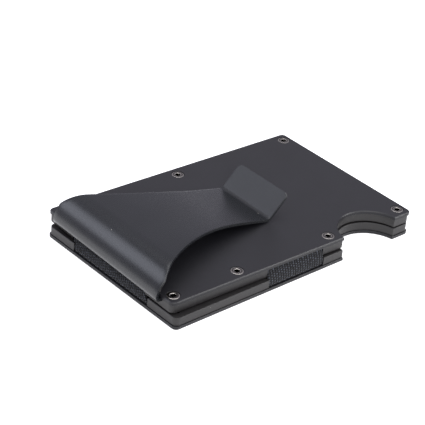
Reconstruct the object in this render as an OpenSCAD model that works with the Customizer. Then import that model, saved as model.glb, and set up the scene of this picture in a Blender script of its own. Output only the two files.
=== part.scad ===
// Slim metal card holder with a spring money clip, lying flat.
// Two sandwich halves are held together by three elastic straps. Each half is a thin outer
// plate screwed to a thicker inner plate, and the upper half carries the clip.
// Origin: centre of the underside. +X runs to the thumb notch, +Y away from it, +Z up.

/* [Plates] */
// Length of the outer plates, a little over a card's length
plate_w = 86; // [80:0.5:110]
// Width of the outer plates, matched to a card's width
plate_d = 54; // [50:0.5:70]
// Thickness of each outer plate
outer_t = 1.0; // [0.9:0.1:1.6]
// Thickness of each inner plate
inner_t = 2.4; // [2.4:0.1:4]
// Corner radius of the outer plates
corner_r = 1.5; // [1:0.1:3]
// Chamfer around the rims of the outer plates
rim_chamfer = 0.22; // [0.1:0.01:0.35]
// Chamfer of the outer plates' other rim, against the inner plate
hidden_chamfer = 0.05; // [0.03:0.01:0.2]
// Chamfer around the rims of the inner plates
inner_chamfer = 0.12; // [0.05:0.01:0.3]
// Step from the rim of an outer plate in to its inner plate
inner_inset = 0.25; // [0.1:0.05:0.5]
// Gap between the two halves with no cards inside
face_gap = 0.2; // [0.1:0.05:1]

/* [Lie of the upper half] */
// Turn of the upper half on its elastic, in degrees
skew = 1.2; // [0:0.1:1.4]
// Slip of the upper half along X
slip_x = 0.8; // [0:0.1:1.2]
// Slip of the upper half along Y
slip_y = 1.1; // [0:0.1:1.2]

/* [Thumb notch] */
// Radius of the round notch
notch_r = 10; // [7:0.5:12]
// Distance from the end of the plates to the centre of the notch
notch_in_x = 16.6; // [14:0.2:20]
// How far the centre of the notch lies outside the long edge
notch_out_y = 1.4; // [0:0.2:4]

/* [Elastic straps] */
// Thickness of the woven elastic
band_t = 0.8; // [0.6:0.05:0.9]
// Width of the two straps on the long sides
side_strap_w = 17.4; // [14:0.2:20]
// Width of the strap on the clip end
end_strap_w = 28.4; // [20:0.2:32]
// Centre of the strap on the notch side
near_strap_x = -1; // [-3:0.5:1]
// Centre of the strap on the other long side
far_strap_x = -15; // [-16:0.5:-12]
// Length of elastic inside a half on the long sides
side_run_l = 15; // [12:0.5:17]
// Length of elastic inside a half on the clip end
end_run_l = 14; // [13.5:0.5:14.5]
// Length of the folded and stitched hem that anchors each end
hem_l = 3; // [2:0.2:3]
// Depth of the straps behind the rim of the plates
strap_recess = 0.6; // [0.4:0.1:1]
// Play of a strap in its window, at its sides and behind it
window_clear = 1.3; // [1.2:0.1:1.5]
// Play of a strap in its channel
channel_clear = 0.3; // [0.2:0.1:0.6]
// Room for the fold between a strap's run and its bridge
fold_clear = 0.3; // [0.25:0.05:0.6]

/* [Screws] */
// Radius of the screw head
head_r = 1.8; // [1.5:0.1:2]
// Radius of the screw shank
shank_r = 1.0; // [0.8:0.1:1.2]
// Length of a screw from the face of its head
screw_l = 3.1; // [2.5:0.1:3.3]
// Radial clearance of the shank in its hole
shank_clear = 0.03; // [0.01:0.01:0.1]
// Depth of the six-lobed recess
recess_h = 0.6; // [0.4:0.1:0.8]
// Distance of the corner screws from the short edges
corner_screw_x = 2.7; // [2.6:0.1:4]
// Distance of every screw from its long edge
screw_in_y = 3.2; // [2.8:0.1:4]
// Distance of the strap screws before the centre of a side strap
strap_screw_back = 18.2; // [15:0.2:19]
// Distance of the strap screws after the centre of a side strap
strap_screw_on = 14.4; // [13:0.2:15]

/* [Money clip] */
// Thickness of the spring sheet
clip_t = 0.8; // [0.5:0.1:0.8]
// Width of the clip where it leaves the plates
clip_root_w = 44.6; // [36:0.2:46]
// Width of the clip at its tip
clip_tip_w = 20.1; // [14:0.1:24]
// Radius of the inward sweep of each side
clip_side_r = 65.4; // [60:0.2:80]
// Distance from the clip end of the plates to where the sides run parallel
clip_waist_l = 39; // [37:0.5:40]
// Inside radius of the tight bend around the plate's edge
root_r = 0.8; // [0.8:0.1:1.2]
// Turn of the tight bend, in degrees
root_turn = 105; // [95:1:110]
// Inside radius of the crown
crown_r = 8; // [6:0.1:10]
// Inside radius of the long bow of the arm
bow_r = 120; // [100:1:150]
// Slope of the arm down to the plate, in degrees
arm_slope = 12; // [11:0.1:13]
// Radius of the bend under the lip, on its upper side
valley_r = 1.6; // [1:0.1:3]
// Angle of the lip above the plate, in degrees
lip_angle = 46; // [30:1:60]
// Length of the flat of the lip
lip_l = 7.7; // [4:0.1:10]
// Corner radius of the lip
lip_corner_r = 1.6; // [0.5:0.1:3]
// Gap between the resting clip and the plate
clip_clear = 0.25; // [0.05:0.05:0.5]
// Length of the clip's foot under the outer plate
foot_l = 7.8; // [7:0.1:7.8]
// Distance from the long edges of the plates to the ears of the foot
ear_in_y = 1; // [0.8:0.1:1.2]
// Distance from the short edge of the plates to the ears of the foot
ear_in_x = 0.8; // [0.5:0.1:1]

/* [Hidden] */

$fn = 64;
cut = 1;              // how far a cutter runs past the face that it cuts
seat = 0.02;          // play of a piece that is clamped in its seat
head_sink = 0.06;     // a screw head lies this far below the face of its plate
head_rim_h = 0.12;    // straight rim of a screw head
head_clear = 0.08;    // gap between a screw head and its countersink
lobe_r = 0.26;        // radius of one lobe in a screw's recess
lobe_ring_r = 0.58;   // radius of the ring that the lobes stand on
lobes = 6;            // number of lobes in a screw's recess
foot_play = 0.2;      // play round the clip's foot in its seat
bow_steps = 12;       // number of flats along the bow of the arm
valley_steps = 8;     // number of flats round the valley
lip_flats = 3;        // number of flats round each corner of the lip
clip_reach = 4;       // how far the clip's outline runs past the clip end
clip_room = 40;       // height that takes in the whole clip

// Levels of a half, counted from its card face
half_t = outer_t + inner_t;
run_top = inner_t - seat;
foot_floor = inner_t - clip_t - seat;
end_run_top = foot_floor - seat;
hem_t = 2 * band_t - 0.1;

// Plan of a half
notch_x = plate_w / 2 - notch_in_x;
notch_y = -plate_d / 2 - notch_out_y;
fold_in = strap_recess + band_t;
run_in = fold_in + fold_clear;
window_in = fold_in + window_clear;
foot_w = plate_d - 2 * ear_in_y;
ear_x = ear_in_x - plate_w / 2;
foot_end_x = foot_l - plate_w / 2;
clip_waist_x = clip_waist_l - plate_w / 2;

// Screw places, as [x, y]
corner_x = plate_w / 2 - corner_screw_x;
row_y = plate_d / 2 - screw_in_y;
clip_screw_places = [[-corner_x, -row_y], [-corner_x, row_y]];
plate_screw_places = [
    [corner_x, -row_y],
    [corner_x, row_y],
    [near_strap_x - strap_screw_back, -row_y],
    [near_strap_x + strap_screw_on, -row_y],
    [far_strap_x - strap_screw_back, row_y],
    [far_strap_x + strap_screw_on, row_y]
];
screw_places = concat(clip_screw_places, plate_screw_places);

// The clip's line runs out from the foot, round the edge of the plate, over the crown at
// its highest level, and down the arm to the valley that hangs just over the plate
crown_turn = 180 - root_turn;
crown_z = inner_t + root_r - (crown_r - root_r) * cos(crown_turn) + crown_r;
arm_drop = crown_z - half_t - clip_clear;
bend_drop = (bow_r + valley_r + clip_t) * (1 - cos(arm_slope));
arm_flat = (arm_drop - bend_drop) / sin(arm_slope);

// Profile of the arm as [x, z], counted from the underside of the sheet at the crown's top
bow_end = bow_r * out_of(arm_slope) - [0, bow_r];
valley = bow_end + arm_flat * along(arm_slope) + (valley_r + clip_t) * out_of(arm_slope);
valley_turn = arm_slope + lip_angle;
lip_end = valley - (valley_r + clip_t) * out_of(-lip_angle) + lip_l * along(-lip_angle);

// ------------------------------------------------------------ placing

// A half is drawn with its card face at z = 0 and its outer face up
module lower_half() {
    translate([0, 0, half_t]) mirror([0, 0, 1]) children();
}

module upper_half() {
    translate([slip_x, slip_y, half_t + face_gap]) rotate([0, 0, -skew]) children();
}

// The straps are drawn with the plate's edge along X and the inside of the plate at +Y
module near_edge() {
    translate([near_strap_x, -plate_d / 2, 0]) children();
}

module far_edge() {
    translate([far_strap_x, plate_d / 2, 0]) rotate([0, 0, 180]) children();
}

module end_edge() {
    translate([-plate_w / 2, 0, 0]) rotate([0, 0, -90]) children();
}

// ------------------------------------------------------------ plates

// Section of a flat bar with chamfered long edges, on the XY plane
module bar_section(width, thick, low, high) {
    half = width / 2;
    polygon([
        [low - half, 0], [half - low, 0],
        [half, low], [half, thick - high],
        [half - high, thick], [high - half, thick],
        [-half, thick - high], [-half, low]
    ]);
}

// Section of a chamfered round post, to turn about Z
module post_section(radius, thick, low, high) {
    polygon([
        [0, 0], [radius - low, 0],
        [radius, low], [radius, thick - high],
        [radius - high, thick], [0, thick]
    ]);
}

// Plate with round corners, and a chamfer along its low rim and its high rim
module blank(w, d, thick, radius, low, high) {
    rotate([90, 0, 90])
        linear_extrude(w - 2 * radius, center = true) bar_section(d, thick, low, high);
    rotate([90, 0, 0])
        linear_extrude(d - 2 * radius, center = true) bar_section(w, thick, low, high);
    for (x = [radius - w / 2, w / 2 - radius], y = [radius - d / 2, d / 2 - radius]) {
        translate([x, y, 0]) rotate_extrude() post_section(radius, thick, low, high);
    }
}

// Cutter for the thumb notch of a plate from z = 0 to thick, chamfered at both rims
module notch_cutter(radius, thick, low, high) {
    translate([notch_x, notch_y, 0]) {
        translate([0, 0, -cut]) cylinder(h = thick + 2 * cut, r = radius);
        translate([0, 0, thick - high])
            cylinder(h = 2 * high, r1 = radius, r2 = radius + 2 * high);
        translate([0, 0, -low])
            cylinder(h = 2 * low, r1 = radius + 2 * low, r2 = radius);
    }
}

// Outer plate of a half, with its countersunk screw holes
module outer_plate() {
    hole_r = shank_r + shank_clear;
    sink_h = head_r + head_clear - hole_r;
    difference() {
        translate([0, 0, inner_t])
            blank(plate_w, plate_d, outer_t, corner_r, hidden_chamfer, rim_chamfer);
        translate([0, 0, inner_t]) notch_cutter(notch_r, outer_t, hidden_chamfer, rim_chamfer);
        for (place = screw_places) {
            translate([place[0], place[1], inner_t - cut]) cylinder(h = outer_t + 2 * cut, r = hole_r);
            translate([place[0], place[1], half_t - head_sink - head_rim_h - sink_h])
                cylinder(h = sink_h, r1 = hole_r, r2 = hole_r + sink_h);
            translate([place[0], place[1], half_t - head_sink - head_rim_h])
                cylinder(h = cut, r = hole_r + sink_h);
        }
    }
}

// Gap in the rim of an inner plate where a strap crosses from half to half
module window(strap_w) {
    w = strap_w + 2 * window_clear;
    translate([-w / 2, -cut, -cut]) cube([w, window_in + cut, inner_t + 2 * cut]);
}

// Channel for a strap's run, with a deeper groove for its hem
module channel(strap_w, run_l, top, hem_down) {
    w = strap_w + 2 * channel_clear;
    far_in = run_in + run_l + channel_clear;
    hem_in = run_in + run_l - hem_l - channel_clear;
    translate([-w / 2, window_in - cut, top - band_t - seat])
        cube([w, far_in - window_in + cut, inner_t]);
    if (hem_down) {
        translate([-w / 2, hem_in, top - hem_t - seat]) cube([w, far_in - hem_in, inner_t]);
    }
}

// Inner plate with what both halves share: notch, windows, side channels and screw holes
module inner_plate_shared() {
    w = plate_w - 2 * inner_inset;
    d = plate_d - 2 * inner_inset;
    difference() {
        blank(w, d, inner_t, corner_r, inner_chamfer, inner_chamfer);
        notch_cutter(notch_r + inner_inset, inner_t, inner_chamfer, inner_chamfer);
        near_edge() window(side_strap_w);
        far_edge() window(side_strap_w);
        end_edge() window(end_strap_w);
        near_edge() channel(side_strap_w, side_run_l, run_top, true);
        far_edge() channel(side_strap_w, side_run_l, run_top, true);
        for (place = screw_places) {
            translate([place[0], place[1], -cut])
                cylinder(h = inner_t + 2 * cut, r = shank_r + shank_clear);
        }
    }
}

// Seat for the clip's foot in the upper inner plate
module foot_seat() {
    root_w = clip_root_w + 2 * foot_play;
    translate([ear_x - foot_play, -foot_w / 2 - foot_play, foot_floor])
        cube([foot_end_x - ear_x + 2 * foot_play, foot_w + 2 * foot_play, inner_t]);
    translate([-plate_w / 2 - cut, -root_w / 2, foot_floor])
        cube([foot_l / 2 + cut, root_w, inner_t]);
}

module lower_outer_plate() {
    color("#3d3d41") lower_half() outer_plate();
}

module upper_outer_plate() {
    color("#434347") upper_half() outer_plate();
}

module lower_inner_plate() {
    color("#504f50") lower_half() difference() {
        inner_plate_shared();
        end_edge() channel(end_strap_w, end_run_l, run_top, true);
    }
}

module upper_inner_plate() {
    color("#565556") upper_half() difference() {
        inner_plate_shared();
        end_edge() channel(end_strap_w, end_run_l, end_run_top, false);
        foot_seat();
    }
}

// ------------------------------------------------------------ screws

// Six-lobed driver recess, as a flat outline
module lobed_outline() {
    circle(lobe_ring_r);
    for (i = [0 : lobes - 1]) {
        rotate(i * 360 / lobes) translate([lobe_ring_r, 0]) circle(lobe_r);
    }
}

// Countersunk screw that hangs down from the level of its head's face
module screw() {
    cone_h = head_r - shank_r;
    difference() {
        union() {
            translate([0, 0, -head_rim_h]) cylinder(h = head_rim_h, r = head_r);
            translate([0, 0, -head_rim_h - cone_h]) cylinder(h = cone_h, r1 = shank_r, r2 = head_r);
            translate([0, 0, -screw_l]) cylinder(h = screw_l - head_rim_h - cone_h, r = shank_r);
        }
        translate([0, 0, -recess_h]) linear_extrude(recess_h + cut) lobed_outline();
    }
}

module screws(places) {
    for (place = places) {
        translate([place[0], place[1], half_t - head_sink]) screw();
    }
}

module lower_plate_screws() {
    color("#77767a") lower_half() screws(screw_places);
}

module upper_plate_screws() {
    color("#77767a") upper_half() screws(plate_screw_places);
}

module clip_screws() {
    color("#77767a") upper_half() screws(clip_screw_places);
}

// ------------------------------------------------------------ straps

// Flat stretch of elastic inside a half, with its anchoring hem
module run(strap_w, run_l, top, hem_down) {
    hem_z = hem_down ? top - hem_t : top - band_t;
    translate([-strap_w / 2, run_in, top - band_t]) cube([strap_w, run_l, band_t]);
    translate([-strap_w / 2, run_in + run_l - hem_l, hem_z]) cube([strap_w, hem_l, hem_t]);
}

// The end of a bridge inside one half, where the elastic folds into its run
module bridge_end(strap_w, top) {
    translate([-strap_w / 2, strap_recess, top - band_t]) cube([strap_w, band_t, band_t]);
}

module near_strap_lower_run() {
    color("#26252a") lower_half() near_edge() run(side_strap_w, side_run_l, run_top, true);
}

module near_strap_upper_run() {
    color("#26252a") upper_half() near_edge() run(side_strap_w, side_run_l, run_top, true);
}

module near_strap_bridge() {
    color("#2d2c32") hull() {
        lower_half() near_edge() bridge_end(side_strap_w, run_top);
        upper_half() near_edge() bridge_end(side_strap_w, run_top);
    }
}

module far_strap_lower_run() {
    color("#26252a") lower_half() far_edge() run(side_strap_w, side_run_l, run_top, true);
}

module far_strap_upper_run() {
    color("#26252a") upper_half() far_edge() run(side_strap_w, side_run_l, run_top, true);
}

module far_strap_bridge() {
    color("#2d2c32") hull() {
        lower_half() far_edge() bridge_end(side_strap_w, run_top);
        upper_half() far_edge() bridge_end(side_strap_w, run_top);
    }
}

module end_strap_lower_run() {
    color("#26252a") lower_half() end_edge() run(end_strap_w, end_run_l, run_top, true);
}

module end_strap_upper_run() {
    color("#26252a") upper_half() end_edge() run(end_strap_w, end_run_l, end_run_top, false);
}

module end_strap_bridge() {
    color("#2d2c32") hull() {
        lower_half() end_edge() bridge_end(end_strap_w, run_top);
        upper_half() end_edge() bridge_end(end_strap_w, end_run_top);
    }
}

// ------------------------------------------------------------ money clip

// The sheet leaves the foot heading along +X, with its outer side up at clip_t.
// A turn carries what follows it to the end of a bend towards the inner side.
module turn_in(radius, angle) {
    translate([0, 0, -radius]) rotate([0, angle, 0]) translate([0, 0, radius]) children();
}

// Bend with its centre on the inner side of the sheet
module curl_in(radius, angle) {
    translate([0, 0, -radius]) rotate([0, -90, -90]) rotate_extrude(angle = angle)
        translate([radius, -clip_root_w / 2]) square([clip_t, clip_root_w]);
}

// Start of the tight bend, at the clip end of the half
module at_plate_end() {
    translate([-plate_w / 2, 0, inner_t]) rotate([0, 180, 0]) children();
}

module at_crown_top() {
    at_plate_end() turn_in(root_r, root_turn) turn_in(crown_r, crown_turn) children();
}

// Plan outline of the bent part, broad at the root and swept in to the tip
module clip_outline() {
    length = clip_reach + plate_w;
    difference() {
        translate([-plate_w / 2 - clip_reach, -clip_root_w / 2]) square([length, clip_root_w]);
        for (side = [0, 1]) mirror([0, side]) {
            translate([clip_waist_x, clip_tip_w / 2 + clip_side_r]) circle(clip_side_r);
            translate([clip_waist_x, clip_tip_w / 2]) square([length, clip_root_w]);
        }
    }
}

// Foot: the root of the clip, then the ears with the screw holes
module foot() {
    difference() {
        translate([0, 0, inner_t - clip_t]) {
            translate([ear_x, -foot_w / 2, 0]) cube([foot_end_x - ear_x, foot_w, clip_t]);
            translate([-plate_w / 2, -clip_root_w / 2, 0]) cube([foot_l / 2, clip_root_w, clip_t]);
        }
        for (place = clip_screw_places) {
            translate([place[0], place[1], 0]) cylinder(h = half_t, r = shank_r + shank_clear);
        }
    }
}

module clip_base() {
    color("#4b4b50") upper_half() {
        foot();
        intersection() {
            translate([0, 0, -cut]) linear_extrude(clip_room) clip_outline();
            at_plate_end() {
                curl_in(root_r, root_turn);
                turn_in(root_r, root_turn) curl_in(crown_r, crown_turn);
            }
        }
    }
}

// Directions along and out of the sheet where it slopes down by an angle, as [x, z]
function along(slope) = [cos(slope), -sin(slope)];
function out_of(slope) = [sin(slope), cos(slope)];
function reversed(points) = [for (i = [len(points) - 1 : -1 : 0]) points[i]];

// One side of the arm's profile from the crown on: the bow, the valley, then the lip
function arm_side(level) = concat(
    [for (i = [0 : bow_steps]) (bow_r + level) * out_of(i * arm_slope / bow_steps) - [0, bow_r]],
    [for (i = [0 : valley_steps])
        valley - (valley_r + clip_t - level) * out_of(arm_slope - i * valley_turn / valley_steps)],
    [lip_end + level * out_of(-lip_angle)]
);

// Cuts one corner of the lip to a round of flats, in the plane of the lip
module lip_corner_cutter() {
    step = 90 / (lip_flats + 1);
    reach = lip_corner_r / cos(step / 2);
    translate([-lip_corner_r, clip_tip_w / 2 - lip_corner_r, -cut])
        linear_extrude(clip_t + 2 * cut) polygon(concat(
            [lip_corner_r * [cos(step), sin(step)] + cut * [sin(step), -cos(step)]],
            [for (i = [1.5 : 1 : lip_flats]) reach * [cos(i * step), sin(i * step)]],
            [lip_corner_r * [sin(step), cos(step)] + cut * [-cos(step), sin(step)]],
            [[lip_corner_r + cut, lip_corner_r + cut]]
        ));
}

module clip_arm() {
    color("#515156") upper_half() difference() {
        intersection() {
            linear_extrude(clip_room) clip_outline();
            at_crown_top() rotate([90, 0, 0])
                linear_extrude(clip_root_w + 2 * cut, center = true)
                    polygon(concat(arm_side(0), reversed(arm_side(clip_t))));
        }
        at_crown_top() translate([lip_end[0], 0, lip_end[1]]) rotate([0, -lip_angle, 0]) {
            lip_corner_cutter();
            mirror([0, 1, 0]) lip_corner_cutter();
        }
    }
}

// ------------------------------------------------------------ nodes

lower_outer_plate();
lower_inner_plate();
lower_plate_screws();
upper_outer_plate();
upper_inner_plate();
upper_plate_screws();
clip_screws();
clip_base();
clip_arm();
near_strap_lower_run();
near_strap_upper_run();
near_strap_bridge();
far_strap_lower_run();
far_strap_upper_run();
far_strap_bridge();
end_strap_lower_run();
end_strap_upper_run();
end_strap_bridge();
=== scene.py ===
import math

import bmesh
import bpy
from mathutils import Matrix, Vector


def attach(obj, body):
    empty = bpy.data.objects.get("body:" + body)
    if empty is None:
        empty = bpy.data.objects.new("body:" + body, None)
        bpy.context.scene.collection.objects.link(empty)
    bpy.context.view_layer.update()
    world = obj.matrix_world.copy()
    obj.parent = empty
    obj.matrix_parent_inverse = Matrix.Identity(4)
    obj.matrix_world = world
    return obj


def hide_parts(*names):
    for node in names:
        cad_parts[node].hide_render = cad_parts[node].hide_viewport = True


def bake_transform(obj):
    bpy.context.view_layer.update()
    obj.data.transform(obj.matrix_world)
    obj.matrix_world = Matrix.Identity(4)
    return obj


# A slim metal card wallet with a spring money clip, lying flat on a pale table.
# All sizes are in metres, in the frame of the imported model: +X runs from the clip end to the
# thumb notch, +Z up, and the origin is the middle of the underside.
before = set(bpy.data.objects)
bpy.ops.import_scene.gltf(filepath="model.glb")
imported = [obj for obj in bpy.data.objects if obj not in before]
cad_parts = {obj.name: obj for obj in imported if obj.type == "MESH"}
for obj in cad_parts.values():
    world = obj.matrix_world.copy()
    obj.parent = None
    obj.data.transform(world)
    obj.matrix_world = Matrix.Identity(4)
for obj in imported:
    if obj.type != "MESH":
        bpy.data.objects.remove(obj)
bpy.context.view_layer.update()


# ---------------------------------------------------------------- outer plates
# Two plates of aluminium, 1 mm thick, form the faces of the wallet. They are stamped, bead
# blasted and anodised black, and the rim all round is chamfered, so it catches the light.

DYE_DRIFT = 0.012
DUST_SPACING, DUST_SHARE, DUST_SIZE = 0.004, 0.2, 0.0002


def hex_colour(code):
    """sRGB hex to the linear values that a shader takes."""
    channels = [int(code[i:i + 2], 16) / 255 for i in (1, 3, 5)]
    return [c / 12.92 if c <= 0.04045 else ((c + 0.055) / 1.055) ** 2.4 for c in channels] + [1.0]


def add_node(tree, kind, settings={}, values={}, links={}):
    """Adds a node, sets its properties and sockets, and joins the outputs in links to it."""
    node = tree.nodes.new(kind)
    for name, value in settings.items():
        setattr(node, name, value)
    for socket, value in values.items():
        node.inputs[socket].default_value = value
    for socket, source in links.items():
        tree.links.new(source, node.inputs[socket])
    return node


def with_dust(tree, place, clean):
    """Mixes a few grains of pale dust into the colour of a face: one cell in five holds one."""
    cells = add_node(tree, "ShaderNodeTexVoronoi", {"feature": "F1"}, {"Scale": 1 / DUST_SPACING},
                     {"Vector": place})
    chance = add_node(tree, "ShaderNodeSeparateColor", links={"Color": cells.outputs["Color"]})
    chosen = add_node(tree, "ShaderNodeMath", {"operation": "LESS_THAN"}, {1: DUST_SHARE},
                      {0: chance.outputs[0]})
    near = add_node(tree, "ShaderNodeMath", {"operation": "LESS_THAN"},
                    {1: DUST_SIZE / 2 / DUST_SPACING}, {0: cells.outputs["Distance"]})
    grain = add_node(tree, "ShaderNodeMath", {"operation": "MULTIPLY"},
                     links={0: chosen.outputs[0], 1: near.outputs[0]})
    return add_node(tree, "ShaderNodeMix", {"data_type": "RGBA"}, {7: hex_colour("#A09C94")},
                    {0: grain.outputs[0], 6: clean}).outputs[2]


def new_material(name):
    """An empty node material, as (material, its tree)."""
    material = bpy.data.materials.new(name)
    material.use_nodes = True
    material.node_tree.nodes.clear()
    return material, material.node_tree


def anodised_aluminium(name, dark, light, index, edge_shine, roughness, grain, grain_height):
    """Aluminium with a dyed oxide layer, which is clear and reflects like glass over its dye.
    Its skin has a grain that shows as a faint sparkle, and the dye is a little uneven."""
    material, tree = new_material(name)
    place = add_node(tree, "ShaderNodeTexCoord").outputs["Object"]
    # the dye drifts over about a centimetre
    drift = add_node(tree, "ShaderNodeTexNoise", values={"Scale": 1 / DYE_DRIFT, "Detail": 3.0},
                     links={"Vector": place})
    # the grain of the skin is finer than this on the real metal, and is drawn so that it shows
    skin = add_node(tree, "ShaderNodeTexNoise",
                    values={"Scale": 1 / grain, "Detail": 4.0, "Roughness": 0.6},
                    links={"Vector": place})
    mixed = add_node(tree, "ShaderNodeMath", {"operation": "MULTIPLY_ADD"}, {1: 0.5},
                     {0: drift.outputs["Fac"], 2: skin.outputs["Fac"]})
    tint = add_node(tree, "ShaderNodeValToRGB", links={"Fac": mixed.outputs[0]})
    for stop, at, code in zip(tint.color_ramp.elements, (0.55, 0.95), (dark, light)):
        stop.position, stop.color = at, hex_colour(code)
    gloss = add_node(tree, "ShaderNodeMapRange",
                     values={"From Min": 0.3, "From Max": 0.7, "To Min": roughness - 0.05,
                             "To Max": roughness + 0.05},
                     links={"Value": skin.outputs["Fac"]})
    relief = add_node(tree, "ShaderNodeBump", values={"Strength": 0.6, "Distance": grain_height},
                      links={"Height": skin.outputs["Fac"]})
    dusty = with_dust(tree, place, tint.outputs["Color"])
    # the cut edges are rougher than the faces, and shine less
    facing = add_node(tree, "ShaderNodeTexCoord").outputs["Normal"]
    level = add_node(tree, "ShaderNodeSeparateXYZ", links={0: facing}).outputs["Z"]
    flat = add_node(tree, "ShaderNodeMath", {"operation": "ABSOLUTE"}, links={0: level})
    shine = add_node(tree, "ShaderNodeMapRange",
                     values={"From Min": 0.3, "From Max": 0.6, "To Min": edge_shine,
                             "To Max": 0.5},
                     links={"Value": flat.outputs[0]})
    shader = add_node(tree, "ShaderNodeBsdfPrincipled", values={"IOR": index},
                      links={"Base Color": dusty, "Roughness": gloss.outputs[0],
                             "Specular IOR Level": shine.outputs[0],
                             "Normal": relief.outputs["Normal"]})
    add_node(tree, "ShaderNodeOutputMaterial", links={"Surface": shader.outputs[0]})
    return material


def coat_plates(material, *nodes):
    """Gives the plates of those nodes their finish."""
    for node in nodes:
        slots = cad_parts[node].data.materials
        slots.clear()
        slots.append(material)


blasted_anodised = anodised_aluminium("black_anodised_aluminium_blasted", "#101013", "#17171B",
                                      index=1.52, edge_shine=0.25, roughness=0.4, grain=0.00025,
                                      grain_height=0.000012)
coat_plates(blasted_anodised, "lower_outer_plate", "upper_outer_plate")


# ---------------------------------------------------------------- inner plates
# Under each face lies a thicker aluminium plate, milled out for the elastic and anodised black.
# Its milled and tumbled edge is a shade warmer than the blasted faces, and a little duller.

milled_anodised = anodised_aluminium("black_anodised_aluminium_milled", "#0F0E0F", "#191717",
                                     index=1.5, edge_shine=0.42, roughness=0.45, grain=0.0002,
                                     grain_height=0.00001)
coat_plates(milled_anodised, "lower_inner_plate", "upper_inner_plate")


# ---------------------------------------------------------------- screws
# Countersunk machine screws with a six-lobed recess hold each face to its inner plate. They
# are steel with a black oxide finish, sunk a hair below the face. All are one pattern, placed
# at the screw holes, each stopped at its own angle.

HEAD_R, SHANK_R, SCREW_L, TIP_BEVEL = 0.0018, 0.0010, 0.0031, 0.0002
HEAD_RIM, HEAD_SINK = 0.00016, 0.00006
RIM_ROUND, RIM_DROP, RIM_STEPS = 0.00032, 0.00014, 6
RECESS_R, LOBE, RECESS_H, FLOOR_DISH = 0.00078, 0.00006, 0.0006, 0.0001
MOUTH_W, MOUTH_DROP, MOUTH_LAND, WEAR_EDGE = 0.00013, 0.00008, 0.00003, 0.00004
OXIDE_BLOTCH = 0.0005
PLATE_T, CORE_T, HALF_GAP = 0.0010, 0.0024, 0.0002
UPPER_SLIP, UPPER_TURN = (0.0008, 0.0011), -1.2
HALF_T = PLATE_T + CORE_T

# A half is drawn with its card face at z = 0 and its outer face up. The lower one is turned
# over, and the upper one lies a little slipped and turned on its elastic.
LOWER_HALF = Matrix.Translation((0, 0, HALF_T)) @ Matrix.Scale(-1, 4, (0, 0, 1))
UPPER_HALF = (Matrix.Translation((*UPPER_SLIP, HALF_T + HALF_GAP))
              @ Matrix.Rotation(math.radians(UPPER_TURN), 4, "Z"))


def new_object(name, data):
    """A new object at the origin, in the scene."""
    made = bpy.data.objects.new(name, data)
    bpy.context.scene.collection.objects.link(made)
    return made


def smooth(mesh, sharp_from=180):
    """Shades a mesh smooth, but for edges that bend by more than that many degrees."""
    mesh.polygons.foreach_set("use_smooth", [True] * len(mesh.polygons))
    if sharp_from < 180:
        mesh.set_sharp_from_angle(angle=math.radians(sharp_from))


def screw_pattern(around=72):
    """One screw with its face at z = 0, hanging down. Its points carry how worn the oxide is: 1 on
    the rim and the mouth of the recess, 0.5 on the flat of the head, and 0 deep in the recess."""
    def recess(angle, scale=1.0):
        return (RECESS_R + LOBE * math.cos(6 * angle)) * scale

    cone = HEAD_R - SHANK_R
    flat_r = HEAD_R - RIM_ROUND
    mouth_r = RECESS_R + LOBE + MOUTH_W
    rings = [
        (lambda a: SHANK_R - TIP_BEVEL, -SCREW_L, 0.5),
        (lambda a: SHANK_R, TIP_BEVEL - SCREW_L, 0.5),
        (lambda a: SHANK_R, -HEAD_RIM - cone, 0.5),
        (lambda a: HEAD_R, -HEAD_RIM, 0.5),
    ]
    # the rim of the head is rounded over, and the mouth of the recess is chamfered
    for step in range(RIM_STEPS + 1):
        turn = math.pi / 2 * step / RIM_STEPS
        rings.append((lambda a, out=math.cos(turn): HEAD_R - RIM_ROUND * (1 - out),
                      -RIM_DROP * (1 - math.sin(turn)), 1.0))
    rings += [
        (lambda a: flat_r - WEAR_EDGE, 0.0, 0.5),
        (lambda a: mouth_r + WEAR_EDGE, 0.0, 0.5),
        (lambda a: mouth_r, 0.0, 1.0),
        (lambda a: recess(a), -MOUTH_DROP, 1.0),
        (lambda a: recess(a, 0.99), -MOUTH_DROP - MOUTH_LAND, 0.0),
        (lambda a: recess(a, 0.97), -RECESS_H, 0.0),
        (lambda a: recess(a, 0.45), -RECESS_H - FLOOR_DISH, 0.0),
    ]
    shape = bmesh.new()
    wear_layer = shape.verts.layers.float.new("wear")
    loops = []
    for radius, height, wear in rings:
        loop = []
        for i in range(around):
            angle = 2 * math.pi * i / around
            r = radius(angle)
            vert = shape.verts.new((r * math.cos(angle), r * math.sin(angle), height))
            vert[wear_layer] = wear
            loop.append(vert)
        loops.append(loop)
    for low, high in zip(loops, loops[1:]):
        for i in range(around):
            j = (i + 1) % around
            shape.faces.new((low[i], low[j], high[j], high[i]))
    shape.faces.new(loops[0][::-1])
    shape.faces.new(loops[-1])
    bmesh.ops.recalc_face_normals(shape, faces=shape.faces)
    mesh = bpy.data.meshes.new("screw_pattern")
    shape.to_mesh(mesh)
    shape.free()
    smooth(mesh, 35)
    return new_object("screw_pattern", mesh)


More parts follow.
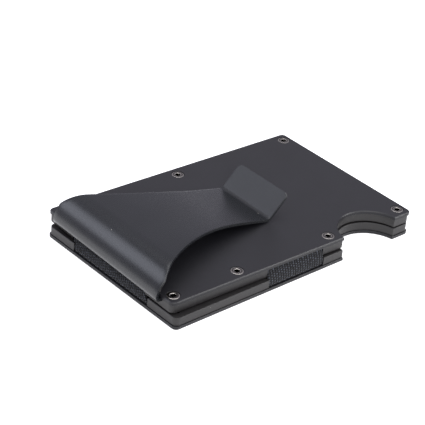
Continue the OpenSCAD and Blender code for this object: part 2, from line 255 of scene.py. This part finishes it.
def oxide_steel():
    """Turned steel with a thin, blotchy black oxide: a dark metal that still glints. The oxide
    is worn off a little at the edges, and whole deep in the recess."""
    material, tree = new_material("black_oxide_steel_turned")
    place = add_node(tree, "ShaderNodeTexCoord").outputs["Object"]
    blotch = add_node(tree, "ShaderNodeTexNoise",
                      values={"Scale": 1 / OXIDE_BLOTCH, "Detail": 3.0},
                      links={"Vector": place})
    tint = add_node(tree, "ShaderNodeValToRGB", links={"Fac": blotch.outputs["Fac"]})
    for stop, at, code in zip(tint.color_ramp.elements, (0.35, 0.7), ("#54514E", "#7E7A75")):
        stop.position, stop.color = at, hex_colour(code)
    gloss = add_node(tree, "ShaderNodeMapRange",
                     values={"From Min": 0.3, "From Max": 0.7, "To Min": 0.18, "To Max": 0.28},
                     links={"Value": blotch.outputs["Fac"]})
    relief = add_node(tree, "ShaderNodeBump", values={"Strength": 0.5, "Distance": 0.00001},
                      links={"Height": blotch.outputs["Fac"]})
    # rubbed to bare steel on the rim and the mouth, and never rubbed deep in the recess
    wear = add_node(tree, "ShaderNodeAttribute", {"attribute_name": "wear"}).outputs["Fac"]
    rubbed = add_node(tree, "ShaderNodeMapRange", values={"From Min": 0.5, "From Max": 1.0},
                      links={"Value": wear})
    covered = add_node(tree, "ShaderNodeMapRange", values={"From Min": 0.5, "From Max": 0.0},
                       links={"Value": wear})
    bare = add_node(tree, "ShaderNodeMix", {"data_type": "RGBA"}, {7: hex_colour("#B0ACA6")},
                    {0: rubbed.outputs[0], 6: tint.outputs["Color"]})
    worn = add_node(tree, "ShaderNodeMix", {"data_type": "RGBA"}, {7: hex_colour("#0B0B0B")},
                    {0: covered.outputs[0], 6: bare.outputs[2]})
    shader = add_node(tree, "ShaderNodeBsdfPrincipled", values={"Metallic": 1.0},
                      links={"Base Color": worn.outputs[2], "Roughness": gloss.outputs[0],
                             "Normal": relief.outputs["Normal"]})
    add_node(tree, "ShaderNodeOutputMaterial", links={"Surface": shader.outputs[0]})
    return material


def new_tree(name, inputs):
    """A geometry tree with those inputs, as (tree, its input node, its output node)."""
    tree = bpy.data.node_groups.new(name, "GeometryNodeTree")
    tree.interface.new_socket("Geometry", in_out="INPUT", socket_type="NodeSocketGeometry")
    for label, kind in inputs:
        tree.interface.new_socket(label, in_out="INPUT", socket_type=kind)
    tree.interface.new_socket("Geometry", in_out="OUTPUT", socket_type="NodeSocketGeometry")
    return tree, add_node(tree, "NodeGroupInput"), add_node(tree, "NodeGroupOutput")


def finish_tree(tree, start, end, geometry):
    """Ends a tree in real faces that carry its Material input."""
    real = add_node(tree, "GeometryNodeRealizeInstances", links={"Geometry": geometry})
    painted = add_node(tree, "GeometryNodeSetMaterial",
                       links={"Geometry": real.outputs[0], "Material": start.outputs["Material"]})
    tree.links.new(painted.outputs[0], end.inputs[0])


def grow(name, source, tree, values):
    """The plain mesh that a geometry tree makes of an object, as a new object of that name."""
    modifier = source.modifiers.new("grow", "NODES")
    modifier.node_group = tree
    for item in tree.interface.items_tree:
        if item.in_out == "INPUT" and item.name in values:
            modifier[item.identifier] = values[item.name]
    seen = source.evaluated_get(bpy.context.evaluated_depsgraph_get())
    mesh = bpy.data.meshes.new_from_object(seen)
    mesh.name = name
    bpy.data.objects.remove(source)
    return new_object(name, mesh)


def screws_tree():
    """A screw at every point of the input, turned over or not, stopped at a random angle."""
    tree, start, end = new_tree("screws", [
        ("Screw", "NodeSocketObject"), ("Turned over", "NodeSocketFloat"),
        ("Seed", "NodeSocketInt"), ("Material", "NodeSocketMaterial")])
    screw = add_node(tree, "GeometryNodeObjectInfo", links={"Object": start.outputs["Screw"]})
    stop = add_node(tree, "FunctionNodeRandomValue", {"data_type": "FLOAT"},
                    links={"Seed": start.outputs["Seed"]})
    angle = add_node(tree, "ShaderNodeMath", {"operation": "MULTIPLY"}, {1: 2 * math.pi},
                     {0: stop.outputs["Value"]})
    turn = add_node(tree, "ShaderNodeCombineXYZ",
                    links={"X": start.outputs["Turned over"], "Z": angle.outputs[0]})
    points = add_node(tree, "GeometryNodeMeshToPoints", links={"Mesh": start.outputs["Geometry"]})
    placed = add_node(tree, "GeometryNodeInstanceOnPoints",
                      links={"Points": points.outputs[0], "Instance": screw.outputs["Geometry"],
                             "Rotation": turn.outputs[0]})
    finish_tree(tree, start, end, placed.outputs[0])
    return tree


SCREW_PLACES = [(-0.0403, -0.0238), (-0.0403, 0.0238), (0.0403, -0.0238), (0.0403, 0.0238),
                (-0.0192, -0.0238), (0.0134, -0.0238), (-0.0332, 0.0238), (-0.0006, 0.0238)]
screw = screw_pattern()
screw_steel = oxide_steel()
screw_rule = screws_tree()
for body, half, over, seed, nodes in (
        ("lower_half", LOWER_HALF, math.pi, 3, ("lower_plate_screws",)),
        ("upper_half", UPPER_HALF, 0.0, 11, ("upper_plate_screws", "clip_screws"))):
    places = bpy.data.meshes.new("screw_places")
    heads = [half @ Vector((x, y, HALF_T - HEAD_SINK)) for x, y in SCREW_PLACES]
    places.from_pydata(heads, [], [])
    screws = grow(body + "_screws", new_object("screw_places", places), screw_rule,
                  {"Screw": screw, "Turned over": over, "Seed": seed, "Material": screw_steel})
    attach(screws, body)
    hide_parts(*nodes)
bpy.data.objects.remove(screw)


# ---------------------------------------------------------------- elastic straps
# Three straps of black woven elastic hold the halves together. Each is folded into the inner
# plates at both ends and hemmed, and crosses the gap in a window behind the rim. Its warp ribs
# run from half to half, and the weft crosses over and under them in turn.

BAND_T, HEM_T, HEM_L, HEM_TAPER = 0.0008, 0.0015, 0.0030, 0.0003
RECESS_IN, FOLD_R, FOLD_ROOM = 0.00035, 0.0006, 0.0003
WINDOW_IN, BULGE = 0.0026, 0.00022
RIB_PITCH, RIB_HEIGHT = 0.00088, 0.00010
THREAD_PITCH, THREAD_HEIGHT = 0.00062, 0.00006
# points to a rib or a thread, and the fewest rows of them from half to half
PITCH_POINTS, LEAST_ROWS = 6, 24
# the selvedge has this share of the band's thickness, and grows to the whole in so many points
SELVEDGE, SELVEDGE_POINTS = 0.45, 3
FIBRE, DYE_PATCH = 0.00012, 0.0007


def edge_frame(x, y, turn):
    """Places a strap: its edge of the plate lies along X, and the inside of the plate at +Y."""
    return Matrix.Translation((x, y, 0)) @ Matrix.Rotation(math.radians(turn), 4, "Z")


def half_line(run_l, level, run_steps=6, fold_steps=8):
    """Middle line of the elastic inside a half, from its end to the fold, as
    (inward, up, thick)."""
    fold_in = RECESS_IN + BAND_T / 2 + FOLD_R
    back = RECESS_IN + BAND_T + FOLD_ROOM + run_l
    hem_in = back - HEM_L
    line = [(back, level, HEM_T), (hem_in + HEM_TAPER, level, HEM_T), (hem_in, level, BAND_T)]
    for i in range(1, run_steps):
        line.append((hem_in + (fold_in - hem_in) * i / run_steps, level, BAND_T))
    for i in range(fold_steps + 1):
        a = math.pi / 2 * i / fold_steps
        line.append((fold_in - FOLD_R * math.sin(a), level - FOLD_R * (1 - math.cos(a)), BAND_T))
    return line


def strap(name, edge, width, shown_width, run_l, lower_level, upper_level):
    """Closed band that runs from the hem in the lower half to the hem in the upper half, and
    spreads out where it crosses the gap. Its points carry how far across and along the band they
    lie, for the ribs and the weave."""
    lower = [(LOWER_HALF @ edge, p) for p in half_line(run_l, lower_level)]
    upper = [(UPPER_HALF @ edge, p) for p in reversed(half_line(run_l, upper_level))]
    across_steps = PITCH_POINTS * round(shown_width / RIB_PITCH)
    us = [shown_width * (i / across_steps - 0.5) for i in range(across_steps + 1)]

    def row(station, u):
        place, (inward, up, thick) = station
        spread = min(1.0, max(0.0, (WINDOW_IN - inward) / (WINDOW_IN - FOLD_R - BAND_T)))
        squeeze = (width + (shown_width - width) * spread) / shown_width
        return place @ Vector((u * squeeze, inward, up)), thick

    # a row holds the points of the band's middle surface at one station, with its thickness there
    rows = [[row(s, u) for u in us] for s in lower]
    fold_low, fold_high = rows[-1], [row(upper[0], u) for u in us]
    gap = (fold_high[0][0] - fold_low[0][0]).length
    between = max(LEAST_ROWS, round(PITCH_POINTS * gap / THREAD_PITCH))
    outward = edge.to_3x3() @ Vector((0, -1, 0))
    for i in range(1, between):
        t = i / between
        bulge = outward * BULGE * math.sin(math.pi * t)
        rows.append([(a[0].lerp(b[0], t) + bulge, BAND_T) for a, b in zip(fold_low, fold_high)])
    rows += [[row(s, u) for u in us] for s in upper]

    middle = len(us) // 2
    along = [0.0]
    for a, b in zip(rows, rows[1:]):
        along.append(along[-1] + (b[middle][0] - a[middle][0]).length)
    shape = bmesh.new()
    across_layer = shape.verts.layers.float.new("across")
    along_layer = shape.verts.layers.float.new("along")
    loops = []
    for k, points in enumerate(rows):
        before, after = rows[max(k - 1, 0)], rows[min(k + 1, len(rows) - 1)]
        outer, inner = [], []
        for i, (point, thick) in enumerate(points):
            heading = (after[i][0] - before[i][0]).normalized()
            side = (points[-1][0] - points[0][0]).normalized()
            out = side.cross(heading).normalized()
            edge_in = min(i, len(points) - 1 - i, SELVEDGE_POINTS)
            grown = math.sqrt(edge_in / SELVEDGE_POINTS)
            half_t = thick / 2 * (SELVEDGE + (1 - SELVEDGE) * grown)
            for side_points, sign in ((outer, 1), (inner, -1)):
                vert = shape.verts.new(point + sign * half_t * out)
                vert[across_layer] = us[i]
                vert[along_layer] = along[k]
                side_points.append(vert)
        loops.append(outer + inner[::-1])
    count = len(loops[0])
    for a, b in zip(loops, loops[1:]):
        for i in range(count):
            j = (i + 1) % count
            shape.faces.new((a[i], a[j], b[j], b[i]))
    half = count // 2
    for loop in (loops[0], loops[-1]):
        for i in range(half - 1):
            shape.faces.new((loop[i], loop[i + 1], loop[count - 2 - i], loop[count - 1 - i]))
    bmesh.ops.recalc_face_normals(shape, faces=shape.faces)
    mesh = bpy.data.meshes.new(name)
    shape.to_mesh(mesh)
    shape.free()
    smooth(mesh)
    return new_object(name + "_flat", mesh)


def knit_waves(tree, ribs, threads):
    """Waves from -1 to 1 over the ribs and over the threads, from how many of each a point lies
    from the start. The threads of every second rib are shifted by half of one."""
    nearest = add_node(tree, "ShaderNodeMath", {"operation": "ROUND"}, links={0: ribs})
    odd = add_node(tree, "ShaderNodeMath", {"operation": "PINGPONG"}, {1: 1.0},
                   {0: nearest.outputs[0]})
    shifted = add_node(tree, "ShaderNodeMath", {"operation": "MULTIPLY_ADD"}, {1: 0.5},
                       {0: odd.outputs[0], 2: threads})
    waves = []
    for count in (ribs, shifted.outputs[0]):
        turn = add_node(tree, "ShaderNodeMath", {"operation": "MULTIPLY"}, {1: 2 * math.pi},
                        {0: count})
        wave = add_node(tree, "ShaderNodeMath", {"operation": "COSINE"},
                        links={0: turn.outputs[0]})
        waves.append(wave.outputs[0])
    return waves


def weave_tree():
    """Raises warp ribs along a band and lets the weft cross over and under them in turn."""
    tree, start, end = new_tree("elastic_weave", [
        ("Rib pitch", "NodeSocketFloat"), ("Rib height", "NodeSocketFloat"),
        ("Thread pitch", "NodeSocketFloat"), ("Thread height", "NodeSocketFloat"),
        ("Material", "NodeSocketMaterial")])
    counts = []
    for label, pitch in (("across", "Rib pitch"), ("along", "Thread pitch")):
        gone = add_node(tree, "GeometryNodeInputNamedAttribute", {"data_type": "FLOAT"},
                        {"Name": label})
        count = add_node(tree, "ShaderNodeMath", {"operation": "DIVIDE"},
                         links={0: gone.outputs["Attribute"], 1: start.outputs[pitch]})
        counts.append(count.outputs[0])
    rises = []
    for wave, height in zip(knit_waves(tree, *counts), ("Rib height", "Thread height")):
        rise = add_node(tree, "ShaderNodeMath", {"operation": "MULTIPLY"},
                        links={0: wave, 1: start.outputs[height]})
        rises.append(rise.outputs[0])
    raised = add_node(tree, "ShaderNodeMath", {"operation": "ADD"},
                      links={0: rises[0], 1: rises[1]})
    normal = add_node(tree, "GeometryNodeInputNormal").outputs[0]
    offset = add_node(tree, "ShaderNodeVectorMath", {"operation": "SCALE"},
                      links={0: normal, "Scale": raised.outputs[0]})
    woven = add_node(tree, "GeometryNodeSetPosition",
                     links={"Geometry": start.outputs["Geometry"], "Offset": offset.outputs[0]})
    finish_tree(tree, start, end, woven.outputs[0])
    return tree


def woven_elastic():
    """Black polyester over rubber cores: matt, with a soft sheen on the yarn. Where the weft comes
    up on the ribs the yarn is painted lighter and blue-grey, as a painted highlight, and between
    those loops it is painted near black, as painted shade."""
    material, tree = new_material("woven_elastic_black_polyester")
    across = add_node(tree, "ShaderNodeAttribute", {"attribute_name": "across"}).outputs["Fac"]
    along = add_node(tree, "ShaderNodeAttribute", {"attribute_name": "along"}).outputs["Fac"]
    band = add_node(tree, "ShaderNodeCombineXYZ", links={"X": across, "Y": along})
    # one loop of yarn stands on every rib at every second thread; its top is painted lighter, as a
    #     # highlight, and the hollows round it are painted darker, as shade
    ribs = add_node(tree, "ShaderNodeMath", {"operation": "DIVIDE"}, {1: RIB_PITCH}, {0: across})
    threads = add_node(tree, "ShaderNodeMath", {"operation": "DIVIDE"}, {1: THREAD_PITCH},
                       {0: along})
    crests = [add_node(tree, "ShaderNodeMath", {"operation": "MULTIPLY_ADD"}, {1: 0.5, 2: 0.5},
                       {0: wave}).outputs[0]
              for wave in knit_waves(tree, ribs.outputs[0], threads.outputs[0])]
    loop = add_node(tree, "ShaderNodeMath", {"operation": "MULTIPLY"},
                    links={0: crests[0], 1: crests[1]})
    # loose fibres, and yarn that takes the dye unevenly
    fibre = add_node(tree, "ShaderNodeTexNoise", values={"Scale": 1 / FIBRE, "Detail": 3.0},
                     links={"Vector": band.outputs[0]})
    uneven = add_node(tree, "ShaderNodeTexNoise", values={"Scale": 1 / DYE_PATCH, "Detail": 2.0},
                      links={"Vector": band.outputs[0]})
    dyed = add_node(tree, "ShaderNodeMath", {"operation": "MULTIPLY_ADD"}, {1: 3.0, 2: -0.7},
                    {0: uneven.outputs["Fac"]})
    loop_light_and_shade = add_node(tree, "ShaderNodeMath", {"operation": "MULTIPLY"},
                      links={0: loop.outputs[0], 1: dyed.outputs[0]})
    # painted highlight and shade: near black between the loops, blue-grey on their tops
    tint = add_node(tree, "ShaderNodeValToRGB", links={"Fac": loop_light_and_shade.outputs[0]})
    for stop, at, code in zip(tint.color_ramp.elements, (0.2, 0.9), ("#08080B", "#3C4048")):
        stop.position, stop.color = at, hex_colour(code)
    relief = add_node(tree, "ShaderNodeBump", values={"Strength": 0.8, "Distance": 0.00004},
                      links={"Height": fibre.outputs["Fac"]})
    shader = add_node(tree, "ShaderNodeBsdfPrincipled",
                      values={"Roughness": 0.85, "IOR": 1.5, "Specular IOR Level": 0.3,
                              "Sheen Weight": 0.1, "Sheen Roughness": 0.5},
                      links={"Base Color": tint.outputs["Color"],
                             "Normal": relief.outputs["Normal"]})
    add_node(tree, "ShaderNodeOutputMaterial", links={"Surface": shader.outputs[0]})
    return material


elastic = woven_elastic()
weave_rule = weave_tree()
RUN_LEVEL, END_RUN_LEVEL = 0.00198, 0.00116
STRAPS = [
    ("near_strap", edge_frame(-0.001, -0.027, 0), 0.0174, 0.0195, 0.015, RUN_LEVEL),
    ("far_strap", edge_frame(-0.015, 0.027, 180), 0.0174, 0.0190, 0.015, RUN_LEVEL),
    ("end_strap", edge_frame(-0.043, 0, -90), 0.0284, 0.0304, 0.014, END_RUN_LEVEL),
]
for name, edge, width, shown_width, run_l, upper_level in STRAPS:
    flat = strap(name, edge, width, shown_width, run_l, RUN_LEVEL, upper_level)
    band = grow(name, flat, weave_rule,
                {"Rib pitch": RIB_PITCH, "Rib height": RIB_HEIGHT, "Thread pitch": THREAD_PITCH,
                 "Thread height": THREAD_HEIGHT, "Material": elastic})
    foot, head = edge.translation.copy(), edge.translation.copy()
    foot.z = HALF_T - RUN_LEVEL + BAND_T / 2
    head.z = HALF_T + HALF_GAP + upper_level - BAND_T / 2
    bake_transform(band)
    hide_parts(name + "_lower_run", name + "_upper_run", name + "_bridge")


# ---------------------------------------------------------------- money clip
# One strip of spring steel, 0.8 mm thick, with a satin black coat. Its foot is clamped under
# the upper face by the two corner screws. From there the strip bends round the edge, bows over
# the face while it narrows, comes down to it in a soft crease and ends in a turned-up lip.

CLIP_T, ROOT_W, TIP_W, EAR_W = 0.0008, 0.0446, 0.0201, 0.0520
SIDE_R, WAIST_X, PLATE_END = 0.0654, -0.0040, -0.0430
FOOT_L, EAR_IN = 0.0078, 0.0008
ROOT_R, ROOT_TURN, CROWN_R, BOW_R = 0.0008, 105.0, 0.0080, 0.1200
ARM_SLOPE, VALLEY_R, LIP_ANGLE, LIP_L = 12.0, 0.0016, 46.0, 0.0077
LIP_CORNER_R, CLIP_CLEAR, CLIP_EDGE_R = 0.0016, 0.00025, 0.00016
# where the lip's duller finish starts, and over what length it comes in
LIP_X, LIP_FADE = 0.0040, 0.0008
# the length over which the width steps in where the ears end
EAR_STEP = 0.00001
CORNER_STEPS, STRIP_POINTS = 12, 33
PEEL, COAT_GRAIN, COAT_DRIFT = 0.0006, 0.0002, 0.015


def clip_line():
    """Middle line of the strip in the XZ plane of the upper half, from the foot to the lip."""
    x, z, heading = PLATE_END + FOOT_L, CORE_T - CLIP_T / 2, 180.0
    line = [(x, z)]

    def straight(length, steps):
        nonlocal x, z
        for _ in range(steps):
            x += length / steps * math.cos(math.radians(heading))
            z += length / steps * math.sin(math.radians(heading))
            line.append((x, z))

    def bend(radius, turn, steps):
        """Turns clockwise seen from -Y for a positive turn, and the other way for a negative."""
        nonlocal x, z, heading
        chord = 2 * radius * math.sin(math.radians(abs(turn) / steps / 2))
        for _ in range(steps):
            heading -= turn / steps / 2
            x += chord * math.cos(math.radians(heading))
            z += chord * math.sin(math.radians(heading))
            heading -= turn / steps / 2
            line.append((x, z))

    straight(FOOT_L - EAR_IN, 2)
    straight(EAR_STEP, 1)
    straight(EAR_IN - EAR_STEP, 1)
    bend(ROOT_R + CLIP_T / 2, ROOT_TURN, 24)
    bend(CROWN_R + CLIP_T / 2, 180 - ROOT_TURN, 48)
    drop = (z - CLIP_T / 2) - HALF_T - CLIP_CLEAR
    bows = (BOW_R + VALLEY_R + CLIP_T) * (1 - math.cos(math.radians(ARM_SLOPE)))
    bend(BOW_R + CLIP_T / 2, ARM_SLOPE, 40)
    straight((drop - bows) / math.sin(math.radians(ARM_SLOPE)), 12)
    bend(VALLEY_R + CLIP_T / 2, -(ARM_SLOPE + LIP_ANGLE), 24)
    straight(LIP_L - LIP_CORNER_R, 4)
    for i in range(CORNER_STEPS):
        a, b = (math.pi / 2 * k / CORNER_STEPS for k in (i, i + 1))
        straight(LIP_CORNER_R * (math.sin(b) - math.sin(a)), 1)
    return line


def clip_tree():
    """Sweeps a strip along its middle line. Its sides sweep in on an arc from the root to the
    tip, the foot has ears, and the lip has round corners."""
    tree, start, end = new_tree("clip_strip", [
        ("Root width", "NodeSocketFloat"), ("Tip width", "NodeSocketFloat"),
        ("Ear width", "NodeSocketFloat"), ("Ear length", "NodeSocketFloat"),
        ("Side radius", "NodeSocketFloat"), ("Waist X", "NodeSocketFloat"),
        ("Corner radius", "NodeSocketFloat"), ("Material", "NodeSocketMaterial")])
    given = start.outputs

    def leg(long_side, short_side):
        """Third side of a right triangle."""
        squares = [add_node(tree, "ShaderNodeMath", {"operation": "MULTIPLY"},
                            links={0: side, 1: side}).outputs[0]
                   for side in (long_side, short_side)]
        rest = add_node(tree, "ShaderNodeMath", {"operation": "SUBTRACT"},
                        links={0: squares[0], 1: squares[1]})
        rest = add_node(tree, "ShaderNodeMath", {"operation": "MAXIMUM"}, {1: 0.0},
                        {0: rest.outputs[0]})
        return add_node(tree, "ShaderNodeMath", {"operation": "SQRT"},
                        links={0: rest.outputs[0]}).outputs[0]

    # the sides run in on an arc behind the waist, and are never wider than the root
    place = add_node(tree, "GeometryNodeInputPosition").outputs[0]
    x = add_node(tree, "ShaderNodeSeparateXYZ", links={0: place}).outputs["X"]
    beyond = add_node(tree, "ShaderNodeMath", {"operation": "SUBTRACT"},
                      links={0: x, 1: given["Waist X"]})
    behind_waist = add_node(tree, "ShaderNodeMath", {"operation": "MINIMUM"}, {1: 0.0},
                            {0: beyond.outputs[0]})
    centre = add_node(tree, "ShaderNodeMath", {"operation": "MULTIPLY_ADD"}, {1: 0.5},
                      {0: given["Tip width"], 2: given["Side radius"]})
    swept = add_node(tree, "ShaderNodeMath", {"operation": "SUBTRACT"},
                     links={0: centre.outputs[0],
                            1: leg(given["Side radius"], behind_waist.outputs[0])})
    root = add_node(tree, "ShaderNodeMath", {"operation": "MULTIPLY"}, {1: 0.5},
                    {0: given["Root width"]})
    side = add_node(tree, "ShaderNodeMath", {"operation": "MINIMUM"},
                    links={0: swept.outputs[0], 1: root.outputs[0]})
    # the corners of the lip are round
    gone = add_node(tree, "GeometryNodeSplineParameter").outputs["Length"]
    whole = add_node(tree, "GeometryNodeSplineLength").outputs["Length"]
    left = add_node(tree, "ShaderNodeMath", {"operation": "SUBTRACT"}, links={0: whole, 1: gone})
    into_corner = add_node(tree, "ShaderNodeMath", {"operation": "SUBTRACT"},
                           links={0: given["Corner radius"], 1: left.outputs[0]})
    into_corner = add_node(tree, "ShaderNodeMath", {"operation": "MAXIMUM"}, {1: 0.0},
                           {0: into_corner.outputs[0]})
    cut_off = add_node(tree, "ShaderNodeMath", {"operation": "SUBTRACT"},
                       links={0: given["Corner radius"],
                              1: leg(given["Corner radius"], into_corner.outputs[0])})
    side = add_node(tree, "ShaderNodeMath", {"operation": "SUBTRACT"},
                    links={0: side.outputs[0], 1: cut_off.outputs[0]})
    # the foot is as wide as its ears
    in_foot = add_node(tree, "ShaderNodeMath", {"operation": "LESS_THAN"},
                       links={0: gone, 1: given["Ear length"]})
    ears = add_node(tree, "ShaderNodeMath", {"operation": "MULTIPLY"}, {1: 0.5},
                    {0: given["Ear width"]})
    wider = add_node(tree, "ShaderNodeMath", {"operation": "SUBTRACT"},
                     links={0: ears.outputs[0], 1: side.outputs[0]})
    half = add_node(tree, "ShaderNodeMath", {"operation": "MULTIPLY_ADD"},
                    links={0: in_foot.outputs[0], 1: wider.outputs[0], 2: side.outputs[0]})
    sized = add_node(tree, "GeometryNodeSetCurveRadius",
                     links={"Curve": given["Geometry"], "Radius": half.outputs[0]})
    rung = add_node(tree, "GeometryNodeCurvePrimitiveLine",
                    values={"Start": (-1, 0, 0), "End": (1, 0, 0)})
    rung = add_node(tree, "GeometryNodeResampleCurve", values={"Count": STRIP_POINTS},
                    links={"Curve": rung.outputs[0]})
    radius = add_node(tree, "GeometryNodeInputRadius")
    strip = add_node(tree, "GeometryNodeCurveToMesh",
                     links={"Curve": sized.outputs[0], "Profile Curve": rung.outputs[0],
                            "Scale": radius.outputs[0]})
    finish_tree(tree, start, end, strip.outputs[0])
    return tree


def satin_coat():
    """Steel with a thin sprayed and baked black coat: a satin skin with a faint orange peel, a
    few grains of dust, and a slightly cooler tone than the anodised faces."""
    material, tree = new_material("spring_steel_satin_black_coat")
    place = add_node(tree, "ShaderNodeTexCoord").outputs["Object"]
    # orange peel, fine grain in the coat, and a tone that drifts over centimetres
    peel = add_node(tree, "ShaderNodeTexNoise", values={"Scale": 1 / PEEL, "Detail": 2.0},
                    links={"Vector": place})
    grain = add_node(tree, "ShaderNodeTexNoise", values={"Scale": 1 / COAT_GRAIN, "Detail": 3.0},
                     links={"Vector": place})
    drift = add_node(tree, "ShaderNodeTexNoise", values={"Scale": 1 / COAT_DRIFT, "Detail": 2.0},
                     links={"Vector": place})
    tint = add_node(tree, "ShaderNodeValToRGB", links={"Fac": drift.outputs["Fac"]})
    for stop, at, code in zip(tint.color_ramp.elements, (0.3, 0.7), ("#111316", "#17191C")):
        stop.position, stop.color = at, hex_colour(code)
    gloss = add_node(tree, "ShaderNodeMapRange",
                     values={"From Min": 0.3, "From Max": 0.7, "To Min": 0.25, "To Max": 0.31},
                     links={"Value": grain.outputs["Fac"]})
    # the lip is blasted before it is coated, so it is duller than the arm
    lip = add_node(tree, "ShaderNodeAttribute", {"attribute_name": "lip"}).outputs["Fac"]
    dull = add_node(tree, "ShaderNodeMath", {"operation": "MULTIPLY_ADD"}, {1: 0.18},
                    {0: lip, 2: gloss.outputs[0]})
    height = add_node(tree, "ShaderNodeMath", {"operation": "ADD"},
                      links={0: peel.outputs["Fac"], 1: grain.outputs["Fac"]})
    relief = add_node(tree, "ShaderNodeBump", values={"Strength": 0.15, "Distance": 0.00001},
                      links={"Height": height.outputs[0]})
    dusty = with_dust(tree, place, tint.outputs["Color"])
    shader = add_node(tree, "ShaderNodeBsdfPrincipled", values={"IOR": 1.55},
                      links={"Base Color": dusty, "Roughness": dull.outputs[0],
                             "Normal": relief.outputs["Normal"]})
    add_node(tree, "ShaderNodeOutputMaterial", links={"Surface": shader.outputs[0]})
    return material


clip_curve = bpy.data.curves.new("clip_line", "CURVE")
clip_curve.dimensions = "3D"
clip_points = clip_line()
clip_spline = clip_curve.splines.new("POLY")
clip_spline.points.add(len(clip_points) - 1)
for point, (x, z) in zip(clip_spline.points, clip_points):
    point.co = (x, 0, z, 1)
clip_strip = grow("clip_strip", new_object("clip_line", clip_curve), clip_tree(),
                  {"Root width": ROOT_W, "Tip width": TIP_W, "Ear width": EAR_W,
                   "Ear length": FOOT_L - EAR_IN + EAR_STEP / 2, "Side radius": SIDE_R,
                   "Waist X": WAIST_X, "Corner radius": LIP_CORNER_R, "Material": satin_coat()})
wall = clip_strip.modifiers.new("thickness", "SOLIDIFY")
wall.thickness = CLIP_T
wall.offset = 0.0
wall.use_even_offset = True
rounded = clip_strip.modifiers.new("rounded_edges", "BEVEL")
rounded.width = CLIP_EDGE_R
rounded.segments = 3
rounded.limit_method = "ANGLE"
rounded.angle_limit = math.radians(50)
clip_mesh = bpy.data.meshes.new_from_object(
    clip_strip.evaluated_get(bpy.context.evaluated_depsgraph_get()))
bpy.data.objects.remove(clip_strip)
# the lip begins where the strip turns up again
lip_share = clip_mesh.attributes.new("lip", "FLOAT", "POINT")
lip_share.data.foreach_set("value", [min(1.0, max(0.0, (vert.co.x - LIP_X) / LIP_FADE))
                                     for vert in clip_mesh.vertices])
clip_mesh.transform(UPPER_HALF)
smooth(clip_mesh, 60)
clip = new_object("money_clip", clip_mesh)
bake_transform(clip)
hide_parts("clip_base", "clip_arm")


# ---------------------------------------------------------------- table, light and camera
# The wallet lies on a white opal table in a studio. A broad light hangs overhead, one behind
# to the left draws the soft band along the bend of the clip, and two small ones in front pick
# out the near rims. The table glows a little, which lifts the shadow round the wallet.

TABLE_HALF = 3.0
CAMERA_AIM, CAMERA_BACK = (0.0033, 0.01188, 0), 0.4188
CAMERA_AZIMUTH, CAMERA_ELEVATION, CAMERA_ROLL, FOCAL_MM = -44.06, 30.33, 5.85, 125.4


def opal_acrylic(code, glow):
    """Matt opal acrylic sheet, which is lit a little from below."""
    material, tree = new_material("opal_acrylic_matt")
    shader = add_node(tree, "ShaderNodeBsdfPrincipled",
                      values={"Base Color": hex_colour(code), "Roughness": 0.9,
                              "Specular IOR Level": 0.2, "Emission Color": hex_colour(code),
                              "Emission Strength": glow})
    add_node(tree, "ShaderNodeOutputMaterial", links={"Surface": shader.outputs[0]})
    return material


sheet = bpy.data.meshes.new("table")
sheet.from_pydata([(x * TABLE_HALF, y * TABLE_HALF, 0) for x, y in
                   ((-1, -1), (1, -1), (1, 1), (-1, 1))], [], [(0, 1, 2, 3)])
sheet.materials.append(opal_acrylic("#F6F6F6", glow=0.5))
new_object("table", sheet)


def soft_box(name, place, size, power, colour="#FFFFFF"):
    """A rectangular lamp that faces the wallet."""
    lamp = bpy.data.lights.new(name, "AREA")
    lamp.color = hex_colour(colour)[:3]
    lamp.shape = "RECTANGLE"
    lamp.size, lamp.size_y = size
    lamp.energy = power
    made = new_object(name, lamp)
    facing = (-Vector(place)).to_track_quat("-Z", "Y").to_matrix().to_4x4()
    made.matrix_world = Matrix.Translation(place) @ facing


soft_box("light_behind_left", (-0.80, 0.96, 0.92), (0.75, 0.8), 4.9, "#EDF1FF")
soft_box("light_above", (0.1, -0.1, 1.5), (1.6, 1.6), 20)
soft_box("light_front_right", (1.0, -0.8, 0.87), (0.6, 0.5), 7)
soft_box("light_front_left", (-0.55, -1.0, 0.62), (0.35, 0.3), 11)

studio = bpy.data.worlds.new("studio")
studio.use_nodes = True
room_light = studio.node_tree.nodes["Background"].inputs
room_light["Color"].default_value = hex_colour("#F2EFFF")
room_light["Strength"].default_value = 0.5
bpy.context.scene.world = studio
bpy.context.scene.view_settings.view_transform = "Standard"

azimuth, elevation, roll = (math.radians(a) for a in
                            (CAMERA_AZIMUTH, CAMERA_ELEVATION, CAMERA_ROLL))
back = Vector((math.sin(azimuth) * math.cos(elevation),
               -math.cos(azimuth) * math.cos(elevation), math.sin(elevation)))
level_right = Vector((math.cos(azimuth), math.sin(azimuth), 0))
level_up = back.cross(level_right)
right = level_right * math.cos(roll) + level_up * math.sin(roll)
up = level_up * math.cos(roll) - level_right * math.sin(roll)
lens = bpy.data.cameras.new("camera")
lens.lens = FOCAL_MM
lens.sensor_width = 36.0
lens.clip_start = 0.01
camera = new_object("camera", lens)
turned = Matrix((right, up, back)).transposed().to_4x4()
camera.matrix_world = Matrix.Translation(Vector(CAMERA_AIM) + back * CAMERA_BACK) @ turned
bpy.context.scene.camera = camera
